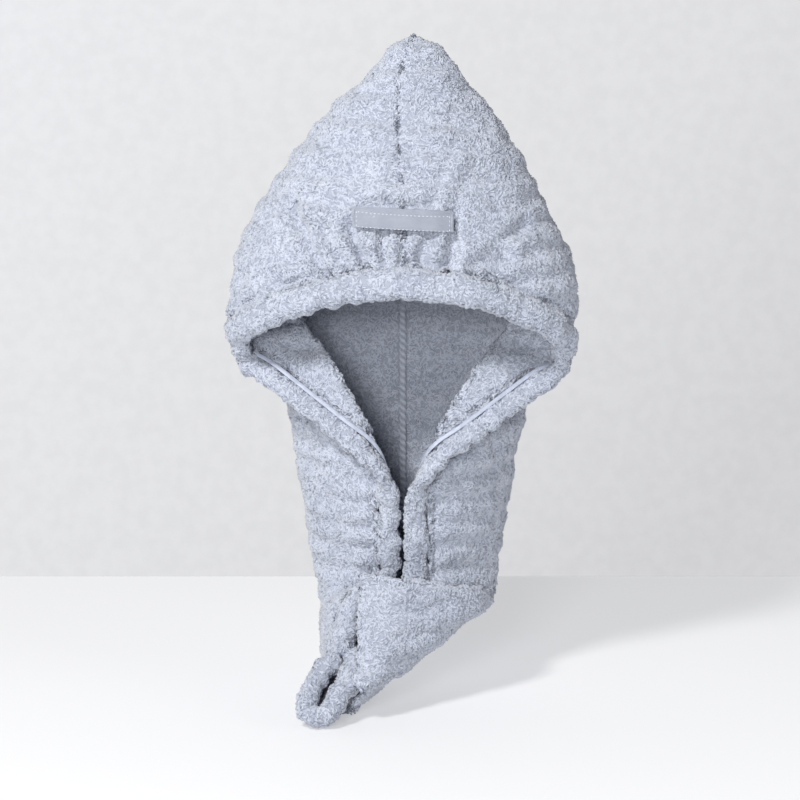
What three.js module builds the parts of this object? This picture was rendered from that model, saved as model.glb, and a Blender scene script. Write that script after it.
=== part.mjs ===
// A hooded hair turban in pile fleece, standing as it is worn: two mirrored halves are sewn together over the top
// and down the back, the face opening has a rolled brow hem, the lower edges turn out as lapels that meet in a V,
// and the tail below the V bends forward and buckles into a flap that ends in a small rolled loop.
// Millimetres, +Z up, the face opening looks towards -Y. Heights in the tables are measured from the corners of the
// face opening; the finished group is lowered so that the origin is where the top of the head bears.

import * as THREE from 'three';

// Driving sizes
const FABRIC = 4;             // thickness of the fleece with its pile
const CLEARANCE = 0.3;        // gap between pieces that are sewn together
const HALF_WIDTH = 120;       // centre line to the side of the hood
const REACH = 75;             // hood centre to the front of the brow
const CROWN_HEIGHT = 219;     // corners of the opening up to the tip of the crown
const TAIL_DROP = 235;        // corners of the opening down to the bottom of the tail
const SEAT_HEIGHT = 150;      // corners of the opening up to where the top of the head bears
const BROW_RISE = 54;         // how far the brow arches above the corners
const BROW_ARCH = 1.3;        // how pointed that arch is: 1 is a plain round arch seen from the front
const CORNER_LIFT = 6;        // brow hem's centre line above the corner level at the corners
// The hem's size at its ends is a share of its full size, which it has from another share of the way to the middle
const BROW_HEM = { half_height: 9, half_depth: 6.5, corner_share: 0.72, full_share: 0.33 };
const FRONT_HEM = { half_width: 7.2, half_depth: 4.5, corner_share: 0.75 };
const CORNER_SHARE = 0.22;    // where the brow hem ends, from the cloth's corner to its first brow column
const HEM_MARGIN = 1.6;       // extra room beside a hem, because the cloth's cut edge meets it at a slant
const LOOP_RADIUS = 6.5;      // rolled hem of the tail loop
const HEM_END = { share: 0.55, length: 2 };   // a hem's rounded end: its size beside the hem's own, and its length
const TAPE = { width: 3.4, thick: 1, first_station: 1, end_station: 13 };
const BACK_TAPE = { width: 3.6, thick: 1.4, crown_share: 0.4, tail_share: 0.5 };
// The strap is sewn down at its ends and stands off the cloth between them, from a share of its length inwards
const STRAP = { length: 66, height: 14.5, thick: 1.5, stand_off: 2.2, sewn_share: 0.2, tilt: -0.05 };
const STRAP_HEIGHT = 100;     // corners of the opening up to the middle of the strap
const SLOPE_SPAN = 8;         // height over which the cloth's slope is taken beside a piece sewn to it
const RIPPLE = 0.9;           // half the depth of the ripples that run across the fleece
const TAIL_LEAN = 3;          // the tail hangs this far towards +X
const RIGHT_SAG = 8;          // the right corner of the opening hangs this much lower than the left one
const SAG_SECTIONS = 7;       // body sections over which that sag dies out

// Fineness of the mesh
const CROWN_ROWS = 22;
const BROW_COLUMNS = 13;
const ROWS_PER_SECTION = 2;
const HEM_SIDES = 8;
const STATIONS_PER_SECTION = 2;
const TAPE_SIDES = 6;
const STRAP_STEPS = 12;
const LOOP_STEPS = 3;         // stations between two points of the tail loop's table
const BROW_SPACING = 1.25;    // brow columns are this much closer together towards the middle

// The hood seen from above at each level: level and width are shares of the crown height and half width, front,
// side and back are shares of the reach. lean moves the whole section and seam the front seam besides, towards +X,
// as shares of the half width.
const CROWN_SECTIONS = [
  { level: 1.00, width: 0.000, front: 0.13, side: 0.15, back: 0.17, lean: 0.060, seam: 0.000 },
  { level: 0.97, width: 0.085, front: 0.03, side: 0.14, back: 0.25, lean: 0.065, seam: -0.040 },
  { level: 0.92, width: 0.165, front: -0.08, side: 0.12, back: 0.36, lean: 0.065, seam: -0.065 },
  { level: 0.85, width: 0.275, front: -0.22, side: 0.09, back: 0.46, lean: 0.060, seam: -0.085 },
  { level: 0.76, width: 0.425, front: -0.37, side: 0.07, back: 0.58, lean: 0.045, seam: -0.083 },
  { level: 0.66, width: 0.570, front: -0.54, side: 0.04, back: 0.70, lean: 0.025, seam: -0.055 },
  { level: 0.54, width: 0.722, front: -0.72, side: 0.00, back: 0.82, lean: 0.010, seam: -0.015 },
  { level: 0.41, width: 0.848, front: -0.87, side: -0.05, back: 0.91, lean: 0.000, seam: 0.000 },
  { level: 0.28, width: 0.980, front: -1.00, side: -0.10, back: 0.96, lean: 0.000, seam: 0.000 },
  { level: 0.16, width: 1.030, front: -1.03, side: -0.12, back: 0.96, lean: 0.000, seam: 0.000 },
  { level: 0.00, width: 0.945, front: -1.03, side: -0.13, back: 0.95, lean: 0.000, seam: 0.000 },
];

// Gathers sewn into the brow: where each valley meets the brow and how far its upper end leans out, as shares of
// the half width, its length as a share of the crown height, and its depth and width in millimetres.
const GATHERS = [
  { at: -0.44, lean: -0.22, reach: 0.21, depth: 3.0, width: 6 },
  { at: -0.32, lean: -0.15, reach: 0.13, depth: 2.0, width: 5 },
  { at: -0.21, lean: -0.10, reach: 0.16, depth: 2.5, width: 5 },
  { at: -0.11, lean: -0.02, reach: 0.14, depth: 2.0, width: 4 },
  { at: 0.00, lean: 0.00, reach: 0.15, depth: 2.0, width: 4 },
  { at: 0.08, lean: 0.08, reach: 0.14, depth: 1.8, width: 4 },
  { at: 0.25, lean: 0.04, reach: 0.20, depth: 2.5, width: 5 },
  { at: 0.42, lean: 0.16, reach: 0.18, depth: 2.2, width: 6 },
];

// The body below the corners, one row a section from the corners down. Each point is [across, forward, height]:
// shares of the half width, the reach and the tail drop. back is the centre back seam, side the silhouette, pocket
// the outside of the front, roll the fold where the lapel turns out, lapel its middle, edge the cloth's own edge and
// hem the centre line of the rolled hem sewn to it.
const BODY_SECTIONS = [
  { back: [0, 0.930, 0], side: [0.783, 0.200, -0.009], pocket: [0.700, 0.027, 0.043],
    roll: [0.550, 0, 0.102], lapel: [0.715, -0.100, 0.062], edge: [0.925, -0.173, 0.013],
    hem: [0.930, -0.262, -0.012] },
  { back: [0, 0.907, -0.043], side: [0.758, 0.187, -0.051], pocket: [0.633, -0.080, 0],
    roll: [0.467, -0.173, 0.051], lapel: [0.617, -0.253, 0.021], edge: [0.758, -0.297, -0.010],
    hem: [0.829, -0.335, -0.030] },
  { back: [0, 0.880, -0.089], side: [0.733, 0.173, -0.098], pocket: [0.567, -0.187, -0.060],
    roll: [0.383, -0.333, 0], lapel: [0.508, -0.400, -0.026], edge: [0.637, -0.453, -0.057],
    hem: [0.695, -0.480, -0.071] },
  { back: [0, 0.800, -0.179], side: [0.692, 0.160, -0.187], pocket: [0.483, -0.373, -0.162],
    roll: [0.250, -0.560, -0.111], lapel: [0.325, -0.600, -0.128], edge: [0.397, -0.636, -0.145],
    hem: [0.454, -0.665, -0.157] },
  { back: [0, 0.760, -0.221], side: [0.675, 0.147, -0.230], pocket: [0.450, -0.427, -0.213],
    roll: [0.192, -0.613, -0.174], lapel: [0.225, -0.640, -0.183], edge: [0.258, -0.667, -0.194],
    hem: [0.317, -0.700, -0.209] },
  { back: [0, 0.707, -0.268], side: [0.658, 0.133, -0.277], pocket: [0.417, -0.453, -0.260],
    roll: [0.217, -0.567, -0.247], lapel: [0.175, -0.600, -0.243], edge: [0.146, -0.640, -0.238],
    hem: [0.208, -0.765, -0.256] },
  { back: [0, 0.653, -0.319], side: [0.642, 0.120, -0.323], pocket: [0.417, -0.440, -0.319],
    roll: [0.225, -0.577, -0.315], lapel: [0.167, -0.605, -0.315], edge: [0.125, -0.620, -0.315],
    hem: [0.113, -0.773, -0.323] },
  { back: [0, 0.613, -0.383], side: [0.625, 0.107, -0.379], pocket: [0.433, -0.413, -0.383],
    roll: [0.258, -0.593, -0.383], lapel: [0.192, -0.633, -0.383], edge: [0.142, -0.653, -0.383],
    hem: [0.075, -0.707, -0.387] },
  { back: [0, 0.567, -0.455], side: [0.595, 0.080, -0.455], pocket: [0.433, -0.373, -0.455],
    roll: [0.275, -0.567, -0.455], lapel: [0.200, -0.613, -0.455], edge: [0.142, -0.640, -0.455],
    hem: [0.075, -0.660, -0.455] },
  { back: [0, 0.507, -0.536], side: [0.567, 0.067, -0.536], pocket: [0.417, -0.347, -0.536],
    roll: [0.275, -0.527, -0.536], lapel: [0.200, -0.580, -0.536], edge: [0.142, -0.607, -0.536],
    hem: [0.075, -0.620, -0.536] },
  { back: [0, 0.440, -0.617], side: [0.533, 0.053, -0.626], pocket: [0.408, -0.307, -0.621],
    roll: [0.258, -0.487, -0.617], lapel: [0.192, -0.533, -0.617], edge: [0.140, -0.560, -0.617],
    hem: [0.075, -0.573, -0.617] },
];

// The tail's bottom, from where it bends forward to its open end. Its back seam is the same for both halves.
const TAIL_SEAM = [
  [0.008, 0.387, -0.689], [0.008, 0.333, -0.745], [0, 0.24, -0.804], [-0.008, 0.16, -0.838],
  [-0.033, 0.053, -0.877], [-0.083, -0.213, -0.923], [-0.158, -0.56, -0.962], [-0.233, -0.933, -0.979],
  [-0.317, -1.307, -0.985],
];

// On the left the cloth goes straight on to the tip. Across is a share of the half width towards -X here.
const LEFT_TAIL_SECTIONS = [
  { side: [0.5, 0.013, -0.694], pocket: [0.433, -0.293, -0.694], roll: [0.283, -0.44, -0.685],
    lapel: [0.183, -0.507, -0.674], edge: [0.125, -0.525, -0.668], hem: [0.094, -0.652, -0.630] },
  { side: [0.487, -0.027, -0.749], pocket: [0.442, -0.333, -0.732], roll: [0.375, -0.507, -0.702],
    lapel: [0.317, -0.593, -0.681], edge: [0.269, -0.653, -0.67], hem: [0.233, -0.747, -0.664] },
  { side: [0.471, -0.093, -0.804], pocket: [0.446, -0.4, -0.779], roll: [0.417, -0.6, -0.749],
    lapel: [0.388, -0.707, -0.728], edge: [0.353, -0.781, -0.715], hem: [0.3, -0.853, -0.715] },
  { side: [0.463, -0.16, -0.83], pocket: [0.446, -0.467, -0.809], roll: [0.425, -0.667, -0.791],
    lapel: [0.408, -0.773, -0.779], edge: [0.383, -0.867, -0.77], hem: [0.325, -0.92, -0.757] },
  { side: [0.45, -0.24, -0.86], pocket: [0.442, -0.52, -0.838], roll: [0.433, -0.733, -0.821],
    lapel: [0.421, -0.84, -0.813], edge: [0.4, -0.933, -0.809], hem: [0.342, -0.987, -0.791] },
  { side: [0.442, -0.48, -0.898], pocket: [0.442, -0.693, -0.877], roll: [0.442, -0.84, -0.862],
    lapel: [0.438, -0.907, -0.851], edge: [0.425, -0.973, -0.843], hem: [0.358, -1.04, -0.813] },
  { side: [0.45, -0.747, -0.928], pocket: [0.467, -0.907, -0.911], roll: [0.475, -1, -0.9],
    lapel: [0.475, -1.053, -0.894], edge: [0.475, -1.093, -0.889] },
  { side: [0.475, -1.067, -0.955], pocket: [0.5, -1.16, -0.945], roll: [0.517, -1.227, -0.94],
    lapel: [0.529, -1.267, -0.938], edge: [0.542, -1.293, -0.938] },
  { side: [0.442, -1.347, -0.983], pocket: [0.475, -1.373, -0.981], roll: [0.5, -1.373, -0.979],
    lapel: [0.517, -1.387, -0.977], edge: [0.533, -1.387, -0.974] },
];

// On the right the cloth dips, comes up behind itself, folds over and slopes down to the tip as a flap.
const RIGHT_TAIL_SECTIONS = [
  { side: [0.55, 0.013, -0.681], pocket: [0.425, -0.4, -0.715], roll: [0.25, -0.6, -0.728],
    lapel: [0.175, -0.653, -0.719], edge: [0.121, -0.68, -0.702], hem: [0.058, -0.633, -0.664] },
  { side: [0.542, -0.107, -0.706], pocket: [0.392, -0.56, -0.702], roll: [0.183, -0.76, -0.681],
    lapel: [0.05, -0.813, -0.668], edge: [-0.075, -0.827, -0.651] },
  { side: [0.517, -0.32, -0.715], pocket: [0.358, -0.733, -0.653], roll: [0.05, -0.933, -0.623],
    lapel: [-0.1, -0.947, -0.611], edge: [-0.242, -0.933, -0.6] },
  { side: [0.492, -0.467, -0.732], pocket: [0.358, -0.84, -0.685], roll: [0.058, -1.027, -0.64],
    lapel: [-0.1, -1.04, -0.626], edge: [-0.25, -1.013, -0.613] },
  { side: [0.396, -0.613, -0.755], pocket: [0.258, -0.907, -0.728], roll: [0.025, -1.107, -0.689],
    lapel: [-0.117, -1.107, -0.677], edge: [-0.25, -1.053, -0.668] },
  { side: [0.254, -0.773, -0.798], pocket: [0.146, -1.04, -0.774], roll: [-0.025, -1.2, -0.745],
    lapel: [-0.15, -1.187, -0.732], edge: [-0.258, -1.12, -0.723] },
  { side: [0.083, -1.013, -0.849], pocket: [0.017, -1.2, -0.83], roll: [-0.092, -1.293, -0.8],
    lapel: [-0.183, -1.267, -0.783], edge: [-0.258, -1.187, -0.774] },
  { side: [-0.087, -1.24, -0.894], pocket: [-0.125, -1.36, -0.872], roll: [-0.175, -1.4, -0.851],
    lapel: [-0.225, -1.36, -0.836], edge: [-0.263, -1.28, -0.83] },
  { side: [-0.233, -1.413, -0.921], pocket: [-0.233, -1.467, -0.911], roll: [-0.242, -1.493, -0.902],
    lapel: [-0.25, -1.48, -0.896], edge: [-0.267, -1.44, -0.894] },
];

// Centre line of the tail loop, from the gathered end of the left hem round the tip and up under the flap's edge.
const LOOP_POINTS = [
  [-0.388, -1.107, -0.843], [-0.475, -1.253, -0.879], [-0.528, -1.413, -0.923], [-0.543, -1.52, -0.955],
  [-0.492, -1.573, -0.973], [-0.417, -1.547, -0.96], [-0.356, -1.44, -0.922], [-0.297, -1.227, -0.877],
  [-0.258, -1.013, -0.83],
];

// Columns of cloth between the named points of a section, and the angle round the hood that each point has above.
const COLUMN_SPANS = [
  { from: 'back', to: 'quarter', columns: 3, angle: 0.0 },
  { from: 'quarter', to: 'side', columns: 2, angle: 0.75 },
  { from: 'side', to: 'pocket', columns: 2, angle: 1.25 },
  { from: 'pocket', to: 'roll', columns: 2, angle: 1.36 },
  { from: 'roll', to: 'lapel', columns: 1, angle: 1.48 },
  { from: 'lapel', to: 'edge', columns: 2, angle: 1.58 },
];
const CORNER_ANGLE = 1.70;
const PLEAT_START = 0.70;     // share of the crown above which the side pleat has faded out
const FOOT_ANGLE = 1.1;       // from here to the corner the crown's lowest row climbs to the brow's edge
const QUARTER_SHARE = 0.74;   // how square the back corner of a section is: a circle has 0.71
const GATHER_FRONT = 0.2;     // gathers lie further forward than this share of the reach

const smooth_step = (t) => {
  const c = THREE.MathUtils.clamp(t, 0, 1);
  return c * c * (3 - 2 * c);
};

function cubic(p0, p1, p2, p3, t) {
  const v0 = (p2 - p0) / 2;
  const v1 = (p3 - p1) / 2;
  return (2 * p1 - 2 * p2 + v0 + v1) * t ** 3 + (-3 * p1 + 3 * p2 - 2 * v0 - v1) * t ** 2 + v0 * t + p1;
}

// A smooth value between four neighbours of a list, for vectors
function cubic_point(points, index, t) {
  const at = (i) => points[THREE.MathUtils.clamp(i, 0, points.length - 1)];
  const [a, b, c, d] = [at(index - 1), at(index), at(index + 1), at(index + 2)];
  return new THREE.Vector3(
    cubic(a.x, b.x, c.x, d.x, t), cubic(a.y, b.y, c.y, d.y, t), cubic(a.z, b.z, c.z, d.z, t));
}

// Hood section at a height, worked out between the rows of the table
function crown_section(height) {
  const level = THREE.MathUtils.clamp(height / CROWN_HEIGHT, 0, 1);
  let i = 0;
  while (i < CROWN_SECTIONS.length - 2 && CROWN_SECTIONS[i + 1].level > level) i += 1;
  const [a, b] = [CROWN_SECTIONS[i], CROWN_SECTIONS[i + 1]];
  const t = (a.level - level) / (a.level - b.level);
  const mix = (name) => THREE.MathUtils.lerp(a[name], b[name], t);
  return {
    width: mix('width') * HALF_WIDTH, front: mix('front') * REACH, side: mix('side') * REACH,
    back: mix('back') * REACH, lean: mix('lean') * HALF_WIDTH, seam: mix('seam') * HALF_WIDTH,
  };
}

// Point of the hood's cloth at a height and an angle round it: 0 at the back seam, pi at the front seam
function crown_point(side, height, angle) {
  const s = crown_section(height);
  const across = Math.sin(angle);
  const along = Math.abs(Math.cos(angle));
  const front = angle > Math.PI / 2;
  const x = side * s.width * across + s.lean + (front ? s.seam * (1 - across) : 0);
  const y = s.side + ((front ? s.front : s.back) - s.side) * along;
  return new THREE.Vector3(x, y, height);
}

// Centre line of the brow hem above the corner level, and the edge of the cloth that it is sewn to
const corner_sag = (side, share) => (side > 0 ? RIGHT_SAG * Math.max(0, share) : 0);
const brow_height = (side, angle) => CORNER_LIFT + BROW_RISE * Math.abs(Math.cos(angle)) ** BROW_ARCH
  - corner_sag(side, 1 - Math.abs(Math.cos(angle)));
const brow_edge = (side, angle) => brow_height(side, angle) + BROW_HEM.half_height + CLEARANCE;

function brow_angle(column) {
  const left = 1 - column / BROW_COLUMNS;
  return Math.PI - (Math.PI - CORNER_ANGLE) * left ** BROW_SPACING;
}

// A table point in millimetres on one side of the body
function body_point(side, share, lean) {
  return new THREE.Vector3(
    side * share[0] * HALF_WIDTH + lean * Math.min(1, Math.abs(share[0])), share[1] * REACH, share[2] * TAIL_DROP);
}

function tail_point(share) {
  return new THREE.Vector3(share[0] * HALF_WIDTH, share[1] * REACH, share[2] * TAIL_DROP);
}

// All the named points of one side, section by section from the corners to the tip of the tail
function side_sections(side) {
  const sections = BODY_SECTIONS.map((row, i) => {
    const lean = i === 0 ? 0 : TAIL_LEAN;
    const named = { back: tail_point(row.back) };
    for (const name of ['side', 'pocket', 'roll', 'lapel', 'edge', 'hem']) {
      const narrow = name === 'side' || name === 'pocket';
      named[name] = body_point(side, row[name], narrow ? lean : 0);
      named[name].z -= corner_sag(side, 1 - i / SAG_SECTIONS);
    }
    return named;
  });
  const tail = side < 0 ? LEFT_TAIL_SECTIONS : RIGHT_TAIL_SECTIONS;
  tail.forEach((row, i) => {
    const named = { back: tail_point(TAIL_SEAM[i]) };
    for (const name of Object.keys(row)) named[name] = body_point(side, row[name], 0);
    sections.push(named);
  });
  sections.forEach((s, i) => {
    if (i === 0 || !s.hem) return;
    const beside = new THREE.Vector3().subVectors(s.edge, s.hem);
    s.edge.copy(s.hem).add(beside.setLength(FRONT_HEM.half_width + CLEARANCE + HEM_MARGIN));
  });
  for (const s of sections) {
    const outward = s.side.clone().sub(s.back);
    s.quarter = s.back.clone().add(new THREE.Vector3(
      outward.x * QUARTER_SHARE, outward.y * (1 - QUARTER_SHARE), outward.z * QUARTER_SHARE));
  }
  return sections;
}

// The columns of a section: a smooth line through its named points
function section_columns(section) {
  const names = COLUMN_SPANS.map((span) => span.from).concat('edge');
  const points = names.map((name) => section[name]);
  const columns = [];
  COLUMN_SPANS.forEach((span, i) => {
    for (let k = 0; k < span.columns; k += 1) columns.push(cubic_point(points, i, k / span.columns));
  });
  columns.push(points[points.length - 1]);
  return columns;
}

// The angle round the hood of each body column
function column_angles() {
  const angles = [];
  COLUMN_SPANS.forEach((span, i) => {
    const next = i + 1 < COLUMN_SPANS.length ? COLUMN_SPANS[i + 1].angle : CORNER_ANGLE;
    for (let k = 0; k < span.columns; k += 1) {
      angles.push(THREE.MathUtils.lerp(span.angle, next, k / span.columns));
    }
  });
  return angles.concat(CORNER_ANGLE);
}

// The rows of the body, with extra rows worked out between the sections
function body_rows(side) {
  const rows = side_sections(side).map(section_columns);
  const fine = [];
  rows.forEach((row, i) => {
    fine.push(row);
    for (let k = 1; k < ROWS_PER_SECTION && i < rows.length - 1; k += 1) {
      fine.push(row.map((_, j) => cubic_point(rows.map((r) => r[j]), i, k / ROWS_PER_SECTION)));
    }
  });
  return fine;
}

// Rows of the crown from the tip down: the last one is the body's first row and, past the corner, the brow edge
function crown_rows(side, first_body_row) {
  const back_angles = column_angles();
  const brow_angles = [];
  for (let j = 1; j <= BROW_COLUMNS; j += 1) brow_angles.push(brow_angle(j));
  const rows = [];
  for (let i = 0; i <= CROWN_ROWS; i += 1) {
    const t = i / CROWN_ROWS;
    const pleat = smooth_step((t - PLEAT_START) / (1 - PLEAT_START));
    const row = back_angles.map((angle, j) => {
      const foot = brow_edge(side, CORNER_ANGLE) * smooth_step((angle - FOOT_ANGLE) / (CORNER_ANGLE - FOOT_ANGLE));
      const plain = crown_point(side, THREE.MathUtils.lerp(CROWN_HEIGHT, foot, t), angle);
      const shift = first_body_row[j].clone().sub(crown_point(side, foot, angle));
      return plain.addScaledVector(shift, pleat);
    });
    for (const angle of brow_angles) {
      row.push(crown_point(side, THREE.MathUtils.lerp(CROWN_HEIGHT, brow_edge(side, angle), t), angle));
    }
    rows.push(row);
  }
  return rows;
}

// One half of the towel as a sheet without thickness: points, four-sided cells, and which points lie on a seam
function panel_sheet(side) {
  const body = body_rows(side);
  const crown = crown_rows(side, body[0]);
  const sheet = { points: [], cells: [], on_seam: [], ripple: [] };
  const put = (point, seam, ripple) => {
    sheet.points.push(point);
    sheet.on_seam.push(seam);
    sheet.ripple.push(ripple);
    return sheet.points.length - 1;
  };
  const crown_index = crown.map((row, i) => row.map((point, j) => {
    const seam = j === 0 || j === row.length - 1 || i === 0;
    return put(point, seam, i > 1 && i < CROWN_ROWS ? (i % 2 ? 1 : -1) : 0);
  }));
  const body_index = body.map((row, i) => (i === 0
    ? crown_index[CROWN_ROWS].slice(0, row.length)
    : row.map((point, j) => put(point, j === 0, i % 2 ? 1 : -1))));
  const fill = (grid) => {
    for (let i = 0; i < grid.length - 1; i += 1) {
      for (let j = 0; j < grid[i].length - 1; j += 1) {
        const cell = [grid[i][j], grid[i + 1][j], grid[i + 1][j + 1], grid[i][j + 1]];
        sheet.cells.push(side < 0 ? cell : cell.reverse());
      }
    }
  };
  fill(crown_index);
  fill(body_index);
  const taped_crown = crown_index.slice(Math.round(CROWN_ROWS * BACK_TAPE.crown_share));
  const taped_body = body_index.slice(1, Math.round(body_index.length * BACK_TAPE.tail_share));
  sheet.back_seam = taped_crown.concat(taped_body).map((row) => row[0]);
  return sheet;
}

function sheet_normals(sheet) {
  const normals = sheet.points.map(() => new THREE.Vector3());
  for (const cell of sheet.cells) {
    const [a, b, c, d] = cell.map((index) => sheet.points[index]);
    const across = new THREE.Vector3().subVectors(c, a).cross(new THREE.Vector3().subVectors(d, b));
    for (const index of cell) normals[index].add(across);
  }
  return normals.map((normal) => normal.normalize());
}

// The two halves share one direction at each point of their seams, so their faces meet flat
function shared_normals(sheets) {
  const both = sheets.map(sheet_normals);
  sheets[0].on_seam.forEach((seam, i) => {
    if (!seam) return;
    const middle = both[0][i].clone().add(both[1][i]).normalize();
    both[0][i].copy(middle);
    both[1][i].copy(middle);
  });
  return both;
}

// Height of the gathers' relief at a point of the crown's front
function gather_depth(point) {
  if (point.y > -GATHER_FRONT * REACH || point.z < 0) return 0;
  const angle = Math.PI - Math.asin(THREE.MathUtils.clamp(Math.abs(point.x) / HALF_WIDTH, 0, 1));
  const rise = (point.z - brow_edge(Math.sign(point.x), angle)) / CROWN_HEIGHT;
  let depth = 0;
  for (const fold of GATHERS) {
    const share = THREE.MathUtils.clamp(rise / fold.reach, 0, 1);
    const middle = (fold.at + fold.lean * share) * HALF_WIDTH;
    depth += fold.depth * (1 - share) * Math.exp(-(((point.x - middle) / fold.width) ** 2));
  }
  return depth;
}

// Gives a sheet its thickness: outer and inner points along the directions, and walls along its free edges
function thicken(sheet, normals, thickness) {
  const count = sheet.points.length;
  const positions = [];
  for (const half of [thickness / 2, -thickness / 2]) {
    sheet.points.forEach((point, i) => {
      positions.push(...point.clone().addScaledVector(normals[i], half).toArray());
    });
  }
  const faces = [];
  const edges = new Map();
  for (const [a, b, c, d] of sheet.cells) {
    faces.push(a, b, c, a, c, d);
    faces.push(a + count, c + count, b + count, a + count, d + count, c + count);
    for (const [from, to] of [[a, b], [b, c], [c, d], [d, a]]) {
      if (!edges.delete(`${to} ${from}`)) edges.set(`${from} ${to}`, [from, to]);
    }
  }
  for (const [from, to] of edges.values()) {
    faces.push(to, from, from + count, to, from + count, to + count);
  }
  return geometry_of(positions, faces);
}

function geometry_of(positions, faces) {
  const geometry = new THREE.BufferGeometry();
  geometry.setAttribute('position', new THREE.Float32BufferAttribute(positions, 3));
  geometry.setIndex(faces);
  geometry.computeVertexNormals();
  return geometry;
}

// Both halves: relief first, then thickness, with half of the seam's gap on each side of it. The back seam's points
// between two shares of the crown height and tail drop go to the tape that binds it.
function panel_geometries() {
  const sheets = [panel_sheet(-1), panel_sheet(1)];
  const flat = shared_normals(sheets);
  sheets.forEach((sheet, k) => {
    sheet.points.forEach((point, i) => {
      point.addScaledVector(flat[k][i], sheet.ripple[i] * RIPPLE - gather_depth(point));
    });
  });
  const normals = shared_normals(sheets);
  const back_seam = sheets[0].back_seam.map((i) => ({ point: sheets[0].points[i].clone(), normal: normals[0][i] }));
  sheets.forEach((sheet, k) => {
    sheet.points.forEach((point, i) => {
      if (sheet.on_seam[i]) point.x += (k === 0 ? -1 : 1) * CLEARANCE / 2;
    });
  });
  const halves = sheets.map((sheet, k) => thicken(sheet, normals[k], FABRIC));
  return { halves, back_seam };
}

// A closed body through rings of points that turn the same way
function loft(rings) {
  const sides = rings[0].length;
  const positions = rings.flatMap((ring) => ring.flatMap((point) => point.toArray()));
  const faces = [];
  for (let i = 0; i < rings.length - 1; i += 1) {
    for (let k = 0; k < sides; k += 1) {
      const next = (k + 1) % sides;
      const [a, b, c, d] = [i * sides + k, i * sides + next, (i + 1) * sides + next, (i + 1) * sides + k];
      faces.push(a, b, c, a, c, d);
    }
  }
  const last = (rings.length - 1) * sides;
  for (let k = 1; k < sides - 1; k += 1) {
    faces.push(0, k + 1, k);
    faces.push(last, last + k, last + k + 1);
  }
  return geometry_of(positions, faces);
}

// A rolled hem or tape: rings round a line of stations { centre, wide, deep }, where wide and deep are vectors that
// carry the half sizes
function roll(stations, sides, square) {
  const rings = stations.map((station, i) => {
    const before = stations[Math.max(i - 1, 0)].centre;
    const after = stations[Math.min(i + 1, stations.length - 1)].centre;
    const travel = new THREE.Vector3().subVectors(after, before);
    const handed = new THREE.Vector3().crossVectors(station.wide, station.deep).dot(travel) > 0 ? 1 : -1;
    const ring = [];
    for (let k = 0; k < sides; k += 1) {
      const turn = handed * ((k + (square ? 0.5 : 0)) / sides) * 2 * Math.PI;
      const grow = square ? Math.SQRT2 : 1;
      ring.push(station.centre.clone()
        .addScaledVector(station.wide, Math.cos(turn) * grow)
        .addScaledVector(station.deep, Math.sin(turn) * grow));
    }
    return ring;
  });
  return loft(rings);
}

// Rounds the ends of a roll: a short smaller station at each end
function with_ends(stations) {
  const cap = (end, inner) => {
    const out = new THREE.Vector3().subVectors(end.centre, inner.centre).normalize();
    return {
      centre: end.centre.clone().addScaledVector(out, HEM_END.length),
      wide: end.wide.clone().multiplyScalar(HEM_END.share), deep: end.deep.clone().multiplyScalar(HEM_END.share),
    };
  };
  const n = stations.length;
  return [cap(stations[0], stations[1]), ...stations, cap(stations[n - 1], stations[n - 2])];
}

// Points of the cloth's brow edge on one side, from halfway up from the corner to the middle of the brow
function brow_edge_points(side) {
  const points = [];
  for (let j = 1; j <= BROW_COLUMNS; j += 1) {
    points.push({ angle: brow_angle(j), edge: crown_point(side, brow_edge(side, brow_angle(j)), brow_angle(j)) });
  }
  const corner = side_sections(side)[0].edge.clone().lerp(points[0].edge, CORNER_SHARE);
  return [{ angle: CORNER_ANGLE, edge: corner }, ...points];
}

// The brow hem runs from corner to corner just outside the cloth's edge
function brow_hem_geometry() {
  const line = brow_edge_points(-1).concat(brow_edge_points(1).reverse().slice(1));
  const stations = line.map(({ angle, edge }, i) => {
    const travel = new THREE.Vector3().subVectors(
      line[Math.min(i + 1, line.length - 1)].edge, line[Math.max(i - 1, 0)].edge).normalize();
    const side = edge.x < 0 ? -1 : 1;
    const above = crown_point(side, edge.z + SLOPE_SPAN, angle);
    const up = new THREE.Vector3().subVectors(above, crown_point(side, edge.z, angle)).normalize();
    const out = new THREE.Vector3(edge.x, edge.y, 0).normalize();
    out.addScaledVector(up, -out.dot(up)).normalize();
    const beside = new THREE.Vector3().crossVectors(out, travel).normalize();
    if (beside.z > 0) beside.negate();
    const full = smooth_step(Math.abs(Math.cos(angle)) / BROW_HEM.full_share);
    const size = THREE.MathUtils.lerp(BROW_HEM.corner_share, 1, full);
    return {
      centre: edge.clone().addScaledVector(beside, BROW_HEM.half_height * size + CLEARANCE + HEM_MARGIN / 2),
      wide: beside.multiplyScalar(BROW_HEM.half_height * size), deep: out.multiplyScalar(BROW_HEM.half_depth * size),
    };
  });
  return roll(with_ends(stations), HEM_SIDES, false);
}

// Stations along one side's sections, two to a section, for the hem line and the tape beside it
function hem_line(side) {
  const sections = side_sections(side).filter((section) => section.hem);
  const centres = sections.map((section) => section.hem);
  const edges = sections.map((section) => section.edge);
  const insides = sections.map((section) => section.lapel);
  const line = [];
  for (let i = 0; i < sections.length - 1; i += 1) {
    for (let k = 0; k < STATIONS_PER_SECTION; k += 1) {
      const t = k / STATIONS_PER_SECTION;
      line.push({ centre: cubic_point(centres, i, t), edge: cubic_point(edges, i, t),
        inside: cubic_point(insides, i, t) });
    }
  }
  const last = sections.length - 1;
  line.push({ centre: centres[last], edge: edges[last], inside: insides[last] });
  return line;
}

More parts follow.
